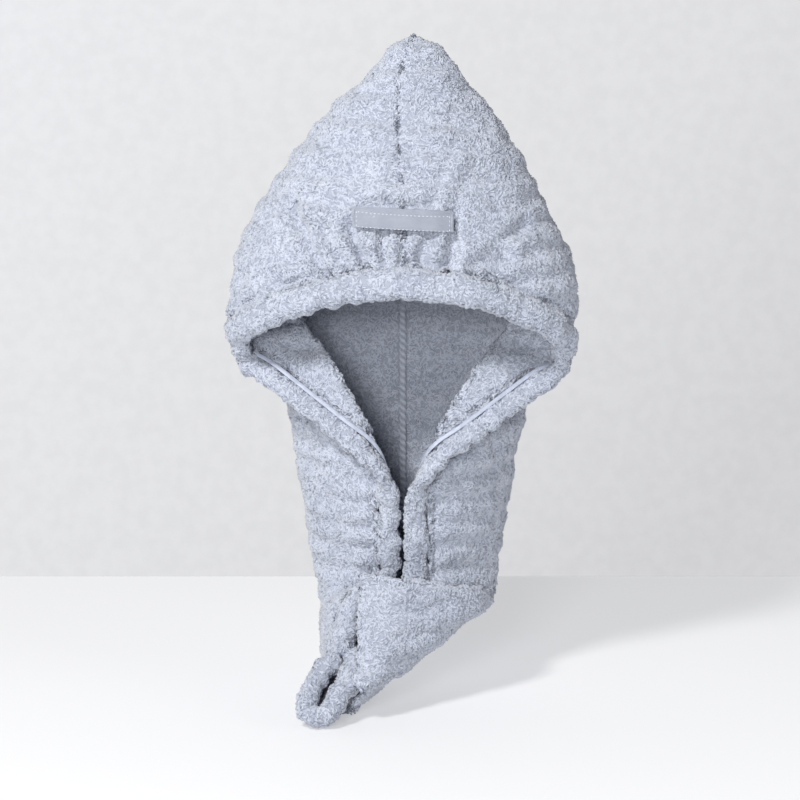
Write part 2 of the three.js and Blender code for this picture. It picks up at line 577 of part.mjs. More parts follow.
function front_hem_geometry(side) {
  const line = hem_line(side);
  const stations = line.map((place, i) => {
    const before = line[Math.max(i - 1, 0)].centre;
    const after = line[Math.min(i + 1, line.length - 1)].centre;
    const travel = new THREE.Vector3().subVectors(after, before).normalize();
    const wide = new THREE.Vector3().subVectors(place.edge, place.centre);
    wide.addScaledVector(travel, -wide.dot(travel)).normalize();
    const deep = new THREE.Vector3().crossVectors(wide, travel);
    const size = i === 0 ? FRONT_HEM.corner_share : 1;
    return {
      centre: place.centre, wide: wide.multiplyScalar(FRONT_HEM.half_width * size),
      deep: deep.multiplyScalar(FRONT_HEM.half_depth * size),
    };
  });
  return roll(with_ends(stations), HEM_SIDES, false);
}

// The smooth tape on the lapel, beside the hem, from near the corner to where the lapel ends
function hem_tape_geometry(side) {
  const line = hem_line(side).slice(TAPE.first_station, TAPE.end_station);
  const stations = line.map((place, i) => {
    const before = line[Math.max(i - 1, 0)].centre;
    const after = line[Math.min(i + 1, line.length - 1)].centre;
    const travel = new THREE.Vector3().subVectors(after, before).normalize();
    const wide = new THREE.Vector3().subVectors(place.edge, place.centre).normalize();
    const towards_face = new THREE.Vector3().crossVectors(travel, wide).multiplyScalar(-side).normalize();
    return {
      centre: place.edge.clone().addScaledVector(wide, -TAPE.width / 2)
        .addScaledVector(towards_face, FRONT_HEM.half_depth + CLEARANCE),
      wide: wide.multiplyScalar(TAPE.width / 2), deep: towards_face.multiplyScalar(TAPE.thick / 2),
    };
  });
  return roll(stations, 4, true);
}

// The bound seam inside the back, on the same points as the back seam, from inside the crown to below the V
function back_seam_tape_geometry(seam) {
  const stations = seam.map(({ point, normal }, i) => {
    const before = seam[Math.max(i - 1, 0)].point;
    const after = seam[Math.min(i + 1, seam.length - 1)].point;
    const travel = new THREE.Vector3().subVectors(after, before).normalize();
    const inward = normal.clone().negate();
    const wide = new THREE.Vector3().crossVectors(travel, inward).normalize();
    return {
      centre: point.clone().addScaledVector(inward, FABRIC / 2 + BACK_TAPE.thick / 2 + CLEARANCE),
      wide: wide.multiplyScalar(BACK_TAPE.width / 2), deep: inward.multiplyScalar(BACK_TAPE.thick / 2),
    };
  });
  return roll(stations, TAPE_SIDES, false);
}

// The woven tab: a flat band that follows the crown's front
function strap_geometry() {
  const stations = [];
  for (let i = 0; i <= STRAP_STEPS; i += 1) {
    const x = (i / STRAP_STEPS - 0.5) * STRAP.length;
    const height = STRAP_HEIGHT + x * STRAP.tilt;
    const surface = (z) => {
      const section = crown_section(z);
      return crown_point(Math.sign(x) || 1, z, Math.PI - Math.asin(Math.abs(x) / section.width));
    };
    const foot = surface(height);
    foot.x = x;
    const up = new THREE.Vector3().subVectors(surface(height + SLOPE_SPAN / 2), surface(height - SLOPE_SPAN / 2));
    up.x = 0;
    up.normalize();
    const out = new THREE.Vector3(x / section_round(height), -1, 0).normalize();
    out.addScaledVector(up, -out.dot(up)).normalize();
    const inwards = (1 - Math.abs(2 * x / STRAP.length)) / (2 * STRAP.sewn_share);
    const stand_off = RIPPLE + CLEARANCE + STRAP.stand_off * smooth_step(inwards);
    stations.push({
      centre: foot.addScaledVector(out, FABRIC / 2 + STRAP.thick / 2 + stand_off),
      wide: up.multiplyScalar(STRAP.height / 2), deep: out.multiplyScalar(STRAP.thick / 2),
    });
  }
  return roll(stations, 4, true);
}

// Radius of the hood's front at a height, for pieces that lie round it
function section_round(height) {
  const section = crown_section(height);
  return section.width ** 2 / (section.side - section.front);
}

// The rolled end of the tail
function tail_loop_geometry() {
  const points = LOOP_POINTS.map(tail_point);
  const line = [];
  for (let i = 0; i < points.length - 1; i += 1) {
    for (let k = 0; k < LOOP_STEPS; k += 1) line.push(cubic_point(points, i, k / LOOP_STEPS));
  }
  line.push(points[points.length - 1]);
  const plane = new THREE.Vector3().subVectors(points[1], points[4])
    .cross(new THREE.Vector3().subVectors(points[7], points[4])).normalize();
  const stations = line.map((centre, i) => {
    const before = line[Math.max(i - 1, 0)];
    const after = line[Math.min(i + 1, line.length - 1)];
    const travel = new THREE.Vector3().subVectors(after, before).normalize();
    const wide = new THREE.Vector3().crossVectors(travel, plane).normalize();
    return {
      centre, wide: wide.multiplyScalar(LOOP_RADIUS), deep: plane.clone().multiplyScalar(LOOP_RADIUS),
    };
  });
  return roll(with_ends(stations), HEM_SIDES, false);
}

const fleece = () => new THREE.MeshStandardMaterial({ color: 0xaab0bf, roughness: 0.95, metalness: 0 });
const tape_cloth = () => new THREE.MeshStandardMaterial({ color: 0xb4b9cc, roughness: 0.6, metalness: 0 });
const woven = () => new THREE.MeshStandardMaterial({ color: 0xadb4c2, roughness: 0.75, metalness: 0 });

const towel = new THREE.Group();
const hood = new THREE.Group();
hood.position.z = -SEAT_HEIGHT;
towel.add(hood);

function add_piece(name, geometry, material) {
  const mesh = new THREE.Mesh(geometry, material);
  mesh.name = name;
  hood.add(mesh);
}

const { halves, back_seam } = panel_geometries();
add_piece('left_panel', halves[0], fleece());
add_piece('right_panel', halves[1], fleece());
add_piece('brow_hem', brow_hem_geometry(), fleece());
add_piece('left_front_hem', front_hem_geometry(-1), fleece());
add_piece('right_front_hem', front_hem_geometry(1), fleece());
add_piece('left_hem_tape', hem_tape_geometry(-1), tape_cloth());
add_piece('right_hem_tape', hem_tape_geometry(1), tape_cloth());
add_piece('back_seam_tape', back_seam_tape_geometry(back_seam), tape_cloth());
add_piece('strap', strap_geometry(), woven());
add_piece('tail_loop', tail_loop_geometry(), fleece());

export default towel;
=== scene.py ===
import math

import bmesh
import bpy
import numpy as np
from mathutils import Matrix, Vector, noise
from mathutils.bvhtree import BVHTree


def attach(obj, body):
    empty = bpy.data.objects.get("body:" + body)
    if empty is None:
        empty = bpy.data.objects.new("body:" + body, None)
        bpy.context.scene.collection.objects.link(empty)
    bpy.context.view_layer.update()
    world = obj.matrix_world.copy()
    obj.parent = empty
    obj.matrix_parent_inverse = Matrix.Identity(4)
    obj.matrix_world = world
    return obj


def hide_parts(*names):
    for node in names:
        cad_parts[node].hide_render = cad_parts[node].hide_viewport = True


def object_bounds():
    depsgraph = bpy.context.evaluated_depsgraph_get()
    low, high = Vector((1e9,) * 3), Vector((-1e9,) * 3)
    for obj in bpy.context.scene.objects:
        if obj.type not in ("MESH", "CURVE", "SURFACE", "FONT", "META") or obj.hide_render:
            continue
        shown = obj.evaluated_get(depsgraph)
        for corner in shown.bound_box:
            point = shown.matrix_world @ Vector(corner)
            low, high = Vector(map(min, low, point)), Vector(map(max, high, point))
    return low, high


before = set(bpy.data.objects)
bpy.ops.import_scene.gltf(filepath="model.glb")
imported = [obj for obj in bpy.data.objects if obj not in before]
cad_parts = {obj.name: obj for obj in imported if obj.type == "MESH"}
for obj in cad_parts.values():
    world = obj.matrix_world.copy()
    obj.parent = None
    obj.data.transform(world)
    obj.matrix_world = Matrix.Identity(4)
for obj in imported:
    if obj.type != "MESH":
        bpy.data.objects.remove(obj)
cad_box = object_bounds()

# The camera looks at the face opening from straight ahead and a little above, through a long lens, with
# the towel from the tip of its crown to the loop of its tail in the picture.
aim = Vector((-0.002, 0.0, -0.1853))
camera_tilt = math.radians(12)
camera_distance = 3.066
camera_data = bpy.data.cameras.new("camera")
camera_data.sensor_width = 36
camera_data.lens = 200
camera = bpy.data.objects.new("camera", camera_data)
camera.location = aim + camera_distance * Vector((0, -math.cos(camera_tilt), math.sin(camera_tilt)))
camera.rotation_euler = (math.radians(90) - camera_tilt, 0, 0)
bpy.context.scene.collection.objects.link(camera)
bpy.context.scene.camera = camera

# The two halves of the towel are cut from pile fleece: a knitted ground about 2 mm thick with short curled
# tufts on both faces. They are sewn together over the crown and down the back, and drawn up into gathers
# above the brow.
pale_tuft = (0.72, 0.755, 0.85)
mid_tuft = (0.46, 0.495, 0.58)
# painted shade for the tufts' roots and the crevices between them
painted_root_shade = (0.07, 0.08, 0.12)
dull_patch = (0.90, 0.91, 0.93)
dull_fibre = (0.84, 0.85, 0.87)
unchanged = (1.0, 1.0, 1.0)
cloth_shine = 0.25
patch_grain = 45              # grains are noise scales, in cells to the metre
fibre_grain = 1300
fibre_relief = 0.0005


def new_material(name, roughness):
    material = bpy.data.materials.new(name)
    material.use_nodes = True
    nodes = material.node_tree.nodes
    finish = nodes["Principled BSDF"]
    finish.inputs["Roughness"].default_value = roughness
    finish.inputs["Specular IOR Level"].default_value = cloth_shine
    return material, nodes, material.node_tree.links, finish


def object_noise(nodes, links, scale, detail):
    where = nodes.new("ShaderNodeTexCoord")
    grain = nodes.new("ShaderNodeTexNoise")
    grain.inputs["Scale"].default_value = scale
    grain.inputs["Detail"].default_value = detail
    links.new(where.outputs["Object"], grain.inputs["Vector"])
    return grain


def ramp(nodes, links, value, stops):
    """Colours between stops, each a place from 0 to 1 and the colour there."""
    colours = nodes.new("ShaderNodeValToRGB")
    first, last = colours.color_ramp.elements
    first.position, first.color = stops[0][0], (*stops[0][1], 1)
    last.position, last.color = stops[-1][0], (*stops[-1][1], 1)
    for place, colour in stops[1:-1]:
        colours.color_ramp.elements.new(place).color = (*colour, 1)
    links.new(value, colours.inputs["Fac"])
    return colours.outputs["Color"]


def multiplied(nodes, links, colour, shade):
    mix = nodes.new("ShaderNodeMix")
    mix.data_type = "RGBA"
    mix.blend_type = "MULTIPLY"
    mix.inputs["Factor"].default_value = 1.0
    links.new(colour, mix.inputs["A"])
    links.new(shade, mix.inputs["B"])
    return mix.outputs["Result"]


def bump(nodes, links, finish, height, distance):
    relief = nodes.new("ShaderNodeBump")
    relief.inputs["Distance"].default_value = distance
    links.new(height, relief.inputs["Height"])
    links.new(relief.outputs["Normal"], finish.inputs["Normal"])


def fleece_material(name):
    """Pile: shade is painted dark at each tuft's root, down in the crevices between tufts, grading to pale at
    its tip, and the tone drifts over the cloth at random.
    """
    material, nodes, links, finish = new_material(name, 0.95)
    finish.inputs["Sheen Weight"].default_value = 0.3
    finish.inputs["Sheen Roughness"].default_value = 0.6
    rise = nodes.new("ShaderNodeAttribute")
    rise.attribute_name = "rise"
    tuft_stops = [(0.0, painted_root_shade), (0.45, mid_tuft), (1.0, pale_tuft)]
    tuft = ramp(nodes, links, rise.outputs["Fac"], tuft_stops)
    patches = object_noise(nodes, links, patch_grain, 3)
    shade = ramp(nodes, links, patches.outputs["Fac"], [(0.3, dull_patch), (0.7, unchanged)])
    fibres = object_noise(nodes, links, fibre_grain, 2)
    fleck = ramp(nodes, links, fibres.outputs["Fac"], [(0.35, dull_fibre), (0.6, unchanged)])
    coloured = multiplied(nodes, links, tuft, shade)
    coloured = multiplied(nodes, links, coloured, fleck)
    links.new(coloured, finish.inputs["Base Color"])
    bump(nodes, links, finish, fibres.outputs["Fac"], fibre_relief)
    return material


fleece = fleece_material("pile fleece")
weld = 1e-5
sewn_reach = 0.0007
ground_inset = 0.0009         # the pile's share of the cloth, taken off each face of the CAD piece
cell_bend, cell_skew = math.radians(50), math.radians(60)


def finished(name, shape, material):
    mesh = bpy.data.meshes.new(name)
    shape.to_mesh(mesh)
    shape.free()
    mesh.materials.append(material)
    mesh.shade_smooth()
    piece = bpy.data.objects.new(name, mesh)
    bpy.context.scene.collection.objects.link(piece)
    return piece


def subdivided(piece, levels):
    soften = piece.modifiers.new("soften", "SUBSURF")
    soften.levels = soften.render_levels = levels
    bpy.context.view_layer.update()
    evaluated = piece.evaluated_get(bpy.context.evaluated_depsgraph_get())
    mesh = bpy.data.meshes.new_from_object(evaluated)
    piece.modifiers.clear()
    piece.data = mesh
    return piece


def joined_shape(node):
    """The shape of a CAD piece with its doubled points welded and its loose triangles joined to cells."""
    shape = bmesh.new()
    shape.from_mesh(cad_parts[node].data)
    bmesh.ops.remove_doubles(shape, verts=shape.verts, dist=weld)
    bmesh.ops.join_triangles(
        shape, faces=shape.faces, angle_face_threshold=cell_bend, angle_shape_threshold=cell_skew
    )
    return shape


def soft_copy(node, name, material, levels, sewn_to=None):
    """A fine, smoothed copy of a CAD piece, with crisp edges where it is sewn to another piece."""
    shape = joined_shape(node)
    if sewn_to is not None:
        crease = shape.edges.layers.float.new("crease_edge")
        for edge in shape.edges:
            if all(sewn_to.find_nearest(point.co, sewn_reach)[0] for point in edge.verts):
                edge[crease] = 1
    return subdivided(finished(name, shape, material), levels)


def lifted(piece, height, sewn_to=None):
    """Moves each point of a piece along its normal by height(place, normal), but not off its seam."""
    mesh = piece.data
    normals = [Vector(normal.vector) for normal in mesh.vertex_normals]
    for point, normal in zip(mesh.vertices, normals):
        sewn = sewn_to is not None and sewn_to.find_nearest(point.co, sewn_reach)[0] is not None
        move = normal * height(point.co, normal)
        if sewn:
            move.x = 0
        point.co = point.co + move
    mesh.update()


# The ripples across the cloth waver, slant to the sides, come and go, and are weaker aside and low down
ripple_pitch = 0.0172
ripple_height = 0.0024
waver_grain, waver_turn = 14, 1.6
ripple_slant = 6
fade_grain, fade_share = 26, 0.6
side_share, front_share = 0.3, 0.9
body_top, body_share = -0.1, 0.85


def ripple_at(place, normal):
    waver = noise.noise(place * waver_grain) * waver_turn
    wave = math.sin(2 * math.pi * place.z / ripple_pitch + waver + ripple_slant * abs(place.x))
    low = body_share if place.z < body_top else 1.0
    fade = fade_share + fade_share * noise.noise(place * fade_grain)
    facing = side_share + front_share * abs(normal.y)
    return ripple_height * low * wave * fade * facing


# Valleys of the gathers above the brow: places (across, up) on the crown's front, depth and half width
gathers = [
    {"line": [(-0.0783, -0.0390), (-0.0648, -0.0632), (-0.0520, -0.0853)], "depth": 0.0054, "width": 0.0048},
    {"line": [(-0.0554, -0.0549), (-0.0446, -0.0729), (-0.0385, -0.0804)], "depth": 0.0046, "width": 0.0042},
    {"line": [(-0.0365, -0.0515), (-0.0291, -0.0708), (-0.0243, -0.0818)], "depth": 0.0060, "width": 0.0038},
    {"line": [(-0.0149, -0.0515), (-0.0129, -0.0729)], "depth": 0.0052, "width": 0.0038},
    {"line": [(0.0003, -0.0556), (0.0003, -0.0784)], "depth": 0.0026, "width": 0.0038},
    {"line": [(0.0202, -0.0563), (0.0128, -0.0673), (0.0074, -0.0790)], "depth": 0.0054, "width": 0.0040},
    {"line": [(0.0337, -0.0480), (0.0337, -0.0673), (0.0296, -0.0791)], "depth": 0.0052, "width": 0.0042},
    {"line": [(0.0694, -0.0750), (0.0587, -0.0854), (0.0431, -0.0957)], "depth": 0.0058, "width": 0.0050},
    {"line": [(0.0820, -0.0560), (0.0640, -0.0680), (0.0490, -0.0800)], "depth": 0.0044, "width": 0.0050},
    {"line": [(0.0249, -0.0397), (0.0330, -0.0246), (0.0418, -0.0087)], "depth": -0.0026, "width": 0.0050},
]
gathers_back, gathers_foot = -0.035, -0.105
gather_reach = 3
swell_share, swell_away, swell_narrowness = 0.35, 1.8, 2


def distance_to_line(across, up, line):
    nearest = 1.0
    for (x0, z0), (x1, z1) in zip(line, line[1:]):
        length = (x1 - x0) ** 2 + (z1 - z0) ** 2
        share = max(0.0, min(1.0, ((across - x0) * (x1 - x0) + (up - z0) * (z1 - z0)) / length))
        nearest = min(nearest, math.hypot(across - x0 - share * (x1 - x0), up - z0 - share * (z1 - z0)))
    return nearest


def gathers_at(place):
    """Depth of the gathers' valleys at a place, with a low swell of cloth on both sides of each."""
    depth = 0
    for fold in gathers:
        away = distance_to_line(place.x, place.z, fold["line"]) / fold["width"]
        if away < gather_reach:
            swell = swell_share * math.exp(-((away - swell_away) ** 2) * swell_narrowness)
            depth += fold["depth"] * (math.exp(-away * away) - swell)
    return depth


lump_height = 0.0014
lump_grains = [(36, 1.7), (95, 0.9)]
nap_grain, nap_share = 230, 0.4
inner_share = 0.8
hood_middle = 0.01


def outer_side(place, normal):
    return normal.x * place.x + normal.y * (place.y - hood_middle) > 0


def fleece_relief(place, normal):
    """Height of the ripples, lumps and gathers of the fleece, the same way on both faces of the cloth."""
    height = ripple_at(place, normal)
    height += lump_height * sum(noise.noise(place * grain) * share for grain, share in lump_grains)
    if place.y < gathers_back and place.z > gathers_foot:
        height -= gathers_at(place)
    if not outer_side(place, normal):
        height = -inner_share * height
    return height + lump_height * noise.noise(place * nap_grain) * nap_share - ground_inset


def tree_of(meshes):
    corners = []
    faces = []
    for mesh in meshes:
        start = len(corners)
        corners.extend(point.co for point in mesh.vertices)
        faces.extend([start + i for i in face.vertices] for face in mesh.polygons)
    return BVHTree.FromPolygons(corners, faces)


def cad_tree(*nodes):
    return tree_of([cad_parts[node].data for node in nodes])


def bell(away, width):
    return math.exp(-((away / width) ** 2))


hems = cad_tree("brow_hem", "left_front_hem", "right_front_hem")
seam_dip = {"depth": 0.0007, "width": 0.0026, "reach": 0.008, "top": 0.055}
hem_valley = {"depth": 0.0026, "away": 0.0048, "width": 0.0032, "reach": 0.014}


def panel_height(other_half):
    """Height of the cloth of one half, dipped along its seam with the other half and beside the hems."""

    def height(place, normal):
        dip = 0
        away = other_half.find_nearest(place, seam_dip["reach"])[3]
        if away is not None and place.z < seam_dip["top"]:
            dip += seam_dip["depth"] * bell(away, seam_dip["width"])
        beside = hems.find_nearest(place, hem_valley["reach"])[3]
        if beside is not None and outer_side(place, normal):
            dip += hem_valley["depth"] * bell(beside - hem_valley["away"], hem_valley["width"])
        return fleece_relief(place, normal) - dip

    return height


def pulled(piece, target, reach):
    """Draws the points of a piece that lie near another piece towards it and a little into it, as the
    stitches between them do."""
    for point in piece.data.vertices:
        near, _, _, away = target.find_nearest(point.co, reach)
        if near is not None and away > 0:
            goal = near + (near - point.co) * (stitch_sunk / away)
            point.co = point.co.lerp(goal, stitch_share * (1 - (away / reach) ** 2))
    piece.data.update()


stitch_share = 0.9
stitch_sunk = 0.0014
panel_reach = 0.0042
tip_level = cad_box[1].z - 0.011      # above it the tip's seam rolls over and makes it blunt
tip_sag = 0.5
panels = []
for side, other in (("left", "right"), ("right", "left")):
    other_half = cad_tree(f"{other}_panel")
    panel = soft_copy(f"{side}_panel", f"{side}_cloth", fleece, 2, other_half)
    lifted(panel, panel_height(other_half), other_half)
    for point in panel.data.vertices:
        point.co.z -= tip_sag * max(0, point.co.z - tip_level)
    panel.data.update()
    pulled(panel, hems, panel_reach)
    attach(panel, "root")
    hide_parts(f"{side}_panel")
    panels.append(panel)

# Sides that the towel is seen from, as degrees around and above, and how much each counts
sides_seen = [
    (0, 12, 1.0), (-25, 5, 0.8), (25, 5, 0.8), (60, 10, 0.5), (-60, 10, 0.5), (110, 10, 0.5), (-110, 10, 0.5),
    (150, 10, 0.5), (-150, 10, 0.5), (180, 25, 0.5), (0, 60, 0.5), (0, -25, 0.4), (180, -30, 0.3),
]
least_share = 0.06
off_cloth = 0.002
least_facing = 0.05


def how_seen(piece, hood):
    """How much each face of a piece shows: 1 from the front, less from other sides, little inside."""
    shares = np.full(len(piece.data.polygons), least_share)
    rays = []
    for around, above, worth in sides_seen:
        turn, lift = math.radians(around), math.radians(above)
        away = Vector((math.sin(turn) * math.cos(lift), -math.cos(turn) * math.cos(lift), math.sin(lift)))
        rays.append((away, worth))
    for face in piece.data.polygons:
        normal = face.normal
        start = face.center + normal * off_cloth
        for away, worth in rays:
            if worth > shares[face.index] and normal.dot(away) > least_facing:
                if hood.ray_cast(start, away)[0] is None:
                    shares[face.index] = worth
    return shares


def unit(vectors):
    return vectors / np.maximum(np.linalg.norm(vectors, axis=1, keepdims=True), 1e-12)


def scattered(cloth, count, draws, shares):
    """Places spread over a piece of cloth, and the direction out of it at each."""
    mesh = cloth.data
    mesh.calc_loop_triangles()
    triangles = len(mesh.loop_triangles)
    corners = np.empty(triangles * 3, np.int32)
    mesh.loop_triangles.foreach_get("vertices", corners)
    owners = np.empty(triangles, np.int32)
    mesh.loop_triangles.foreach_get("polygon_index", owners)
    places = np.empty(len(mesh.vertices) * 3)
    mesh.vertices.foreach_get("co", places)
    facing = np.empty(len(mesh.vertices) * 3)
    mesh.vertex_normals.foreach_get("vector", facing)
    places, facing, corners = places.reshape(-1, 3), facing.reshape(-1, 3), corners.reshape(-1, 3)
    a, b, c = (places[corners[:, i]] for i in range(3))
    odds = np.linalg.norm(np.cross(b - a, c - a), axis=1)
    if shares is not None:
        odds = odds * shares[owners]
    which = draws.choice(triangles, count, p=odds / odds.sum())
    u = draws.random(count)
    v = draws.random(count)
    over = u + v > 1
    u[over], v[over] = 1 - u[over], 1 - v[over]
    u, v = u[:, None], v[:, None]
    near = corners[which]
    root = a[which] * (1 - u - v) + b[which] * u + c[which] * v
    up = unit(facing[near[:, 0]] * (1 - u - v) + facing[near[:, 1]] * u + facing[near[:, 2]] * v)
    return root, up


# A tuft is a curl, a small bent ridge. Lengths, widths and heights vary by these shares of the usual one.
curl_length, length_shares = 0.0044, (0.65, 1.3)
curl_width, width_shares = 0.0023, (0.7, 1.2)
curl_height, height_shares = 0.0018, (0.6, 1.1)
curl_bow = 0.5
swirl_grain, swirl_spread = 130, 0.3
swirl_seed = 5
noise.seed_set(swirl_seed)    # else noise_vector would take its offsets from the clock
clump_grain, clump_least, clump_gain = 170, 0.9, 0.5
tone_spread, clump_tone = 0.14, 0.2
foot_depth = 0.0004
# Painted shade: the ground cloth between the tufts is painted half in shade, and each tuft's feet fully in
# shade
ground_rise = 0.4
foot_rise = 0.0
# Places along a curl: how far along, the shares of its height and width there, and the rise of its crest,
# which sets how light the painted shade on it is
curl_places = [(-0.5, 0.3, 0.5, 0.5), (0.0, 1.0, 1.0, 1.0), (0.5, 0.3, 0.4, 0.5)]


def ridges(name, points):
    """One mesh of many ridges, from rows of points for each: left foot, crest, right foot, place by place."""
    count, corners = points.shape[:2]
    quads = []
    for left in range(0, corners - 3, 3):
        crest, right = left + 1, left + 2
        quads += [left, left + 3, crest + 3, crest, crest, crest + 3, right + 3, right]
    faces = count * len(quads) // 4
    loops = (np.arange(count)[:, None] * corners + np.array(quads)).ravel()
    mesh = bpy.data.meshes.new(name)
    mesh.vertices.add(count * corners)
    mesh.vertices.foreach_set("co", points.astype(np.float32).ravel())
    mesh.loops.add(len(loops))
    mesh.loops.foreach_set("vertex_index", loops.astype(np.int32))
    mesh.polygons.add(faces)
    mesh.polygons.foreach_set("loop_start", (np.arange(faces) * 4).astype(np.int32))
    mesh.update(calc_edges=True)
    return mesh


def rise_values(mesh, values):
    """Gives each point of a mesh its rise, which sets how dark the shade painted on the fleece is there."""
    rise = mesh.attributes.new("rise", "FLOAT", "POINT")
    rise.data.foreach_set("value", np.asarray(values, np.float32).ravel())


def pile_on(cloth, name, count, seed, shares=None, bare=()):
    """Pile on a piece of cloth: small bent ridges of tufts that lie every way on it, joined as one mesh. None
    stands within its reach of each tree in bare."""
    draws = np.random.default_rng(seed)
    root, up = scattered(cloth, count, draws, shares)
    for tree, reach in bare:
        kept = np.array([tree.find_nearest(Vector(place), reach)[0] is None for place in root])
        root, up, count = root[kept], up[kept], int(kept.sum())
    swirl = np.array([noise.noise_vector(Vector(place) * swirl_grain) for place in root])
    lean = swirl + draws.normal(size=(count, 3)) * swirl_spread
    along = unit(lean - up * np.sum(lean * up, axis=1, keepdims=True))
    beside = np.cross(up, along)
    length = curl_length * draws.uniform(*length_shares, (count, 1))
    width = curl_width * draws.uniform(*width_shares, (count, 1))
    clump = np.array([noise.noise(Vector(place) * clump_grain) for place in root])[:, None]
    tall = curl_height * draws.uniform(*height_shares, (count, 1)) * (clump_least + clump_gain * clump)
    bow = draws.normal(size=(count, 1)) * curl_bow
    sunk = up * foot_depth
    rows = []
    for place, rise_share, width_share, _ in curl_places:
        middle = root + along * length * place + beside * length * bow * (0.5 ** 2 - place ** 2)
        half = (beside - along * bow * 2 * place) * width * width_share / 2
        rows += [middle - half - sunk, middle + up * tall * rise_share, middle + half - sunk]
    ridge = ridges(name, np.stack(rows, 1))
    tone = draws.uniform(-tone_spread, tone_spread, (count, 1)) + clump * clump_tone
    # the feet get the darkest painted shade and the middle of the crest the least
    crests = np.array([[foot_rise, crest, foot_rise] for _, _, _, crest in curl_places]).ravel()
    rise_values(ridge, np.clip(crests + tone, 0, 1))
    ridge.materials.append(fleece)
    ridge.shade_smooth()
    pile = bpy.data.objects.new(name, ridge)
    bpy.context.scene.collection.objects.link(pile)
    return pile


# No tuft stands on the tapes or on a hem's stitches
trim_reach = 0.0022
hem_reach = 0.0011
bare = [(cad_tree("left_hem_tape", "right_hem_tape", "back_seam_tape"), trim_reach), (hems, hem_reach)]
panel_curls = 20500
panel_seed = 11
hood = tree_of([panel.data for panel in panels])
piles = []
for side, panel in zip(("left", "right"), panels):
    # the cloth between the tufts is painted with shade
    rise_values(panel.data, np.full(len(panel.data.vertices), ground_rise))
    shares = how_seen(panel, hood)
    for layer in ("pile", "top_pile"):
        pile = pile_on(panel, f"{side}_{layer}", panel_curls, panel_seed + len(piles), shares, bare)
        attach(pile, "root")
        piles.append(pile)

# The rolled hems: the cut edge of the fleece turned over a soft core and sewn down, which draws it into
# small crosswise puckers. One goes over the brow, one down each front edge, and the tail ends in a loop of
# it. The left one is knotted above the loop.
pucker_height = 0.0024
pucker_grain = Vector((150, 90, 110))
hem_lump_height = 0.0010
hem_lump_grain = 60
knot_height = 0.0024
knot_half_length = 0.006
no_knot = 1.0                 # a level far above the towel
hem_seed = 31


def hem_height(fullness, knot_level):
    """Height of the puckers on a hem that is fuller all over, with a knot round it at one level."""

    def height(place, normal):
        pucker = noise.noise(place * pucker_grain)
        lump = noise.noise(place * hem_lump_grain)
        knot = knot_height * bell(place.z - knot_level, knot_half_length)
        return pucker_height * pucker + hem_lump_height * lump + fullness + knot

    return height


# Each hem's tufts and fullness, the level of its knot, and the pieces it is drawn to, with the reach of that
hem_table = {
    "brow_hem": {"curls": 5000, "fullness": 0.0016, "knot": no_knot, "drawn_to": {}},
    "left_front_hem": {
        "curls": 3500, "fullness": 0.0005, "knot": -0.330,
        "drawn_to": {"brow_hem": 0.011, "right_panel": 0.008, "tail_loop": 0.009},
    },
    "right_front_hem": {"curls": 3000, "fullness": 0.0005, "knot": no_knot, "drawn_to": {"brow_hem": 0.011}},
    "tail_loop": {
        "curls": 1500, "fullness": 0.0006, "knot": no_knot,
        "drawn_to": {"right_panel": 0.006, "left_panel": 0.005, "left_front_hem": 0.006},
    },
}
for number, (node, row) in enumerate(hem_table.items()):
    hem = soft_copy(node, f"{node}_roll", fleece, 2)
    lifted(hem, hem_height(row["fullness"], row["knot"]))
    for other, reach in row["drawn_to"].items():
        pulled(hem, cad_tree(other), reach)
    # the hem's cloth between the tufts is painted with shade
    rise_values(hem.data, np.full(len(hem.data.vertices), ground_rise))
    pile = pile_on(hem, f"{node}_pile", row["curls"], hem_seed + number)
    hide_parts(node)
    for piece in (hem, pile):
        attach(piece, "root")

# The satin tapes: a narrow ribbon, woven of fine shiny threads, that covers the seam between each lapel and
# its hem and is sewn down along both edges.
satin_light = (0.50, 0.54, 0.65)
satin_dark = (0.38, 0.42, 0.52)
satin_grain = 260
thread_relief = 0.0003


def satin_material(name, dark, light):
    material, nodes, links, finish = new_material(name, 0.42)
    finish.inputs["Sheen Weight"].default_value = 0.2
    threads = object_noise(nodes, links, satin_grain, 2)
    shade = ramp(nodes, links, threads.outputs["Fac"], [(0.3, dark), (0.7, light)])
    links.new(shade, finish.inputs["Base Color"])
    bump(nodes, links, finish, threads.outputs["Fac"], thread_relief)
    return material


satin = satin_material("satin tape", satin_dark, satin_light)
for side in ("left", "right"):
    tape = soft_copy(f"{side}_hem_tape", f"{side}_satin_tape", satin, 3)
    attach(tape, "root")
    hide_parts(f"{side}_hem_tape")

# The bound seam inside the back: a cord twisted of two strands, laid over the join of the two halves and
# sewn through both. Shade is painted dark into the grooves between the strands.
cord_strands = 2
cord_twist = 0.0046
cord_bulge = 0.0005
cord_fullness = 0.0005
# the rise dips with the twist, painting shade into the grooves between the strands
cord_rise, cord_groove_shade = 0.66, 0.3


def twist(place, normal):
    around = math.atan2(normal.x, -normal.y)
    return math.cos(cord_strands * around + 2 * math.pi * place.z / cord_twist)


def cord_height(place, normal):
    return cord_bulge * twist(place, normal) + cord_fullness


seam_cord = soft_copy("back_seam_tape", "back_seam_cord", fleece, 3)
twists = [twist(point.co, point.normal) for point in seam_cord.data.vertices]
# painted shade: darker in the grooves between the strands
rise_values(seam_cord.data, [cord_rise + cord_groove_shade * turn for turn in twists])
lifted(seam_cord, cord_height)
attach(seam_cord, "root")
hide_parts("back_seam_tape")

# The tab above the brow: a plain woven band folded under along both edges, with a row of stitches near them,
# and sewn to the crown at its ends.
band_light = (0.47, 0.50, 0.58)
band_dark = (0.33, 0.355, 0.42)
worn_patch = (0.9, 0.9, 0.92)
weave_grain = 420
wear_grain = 120


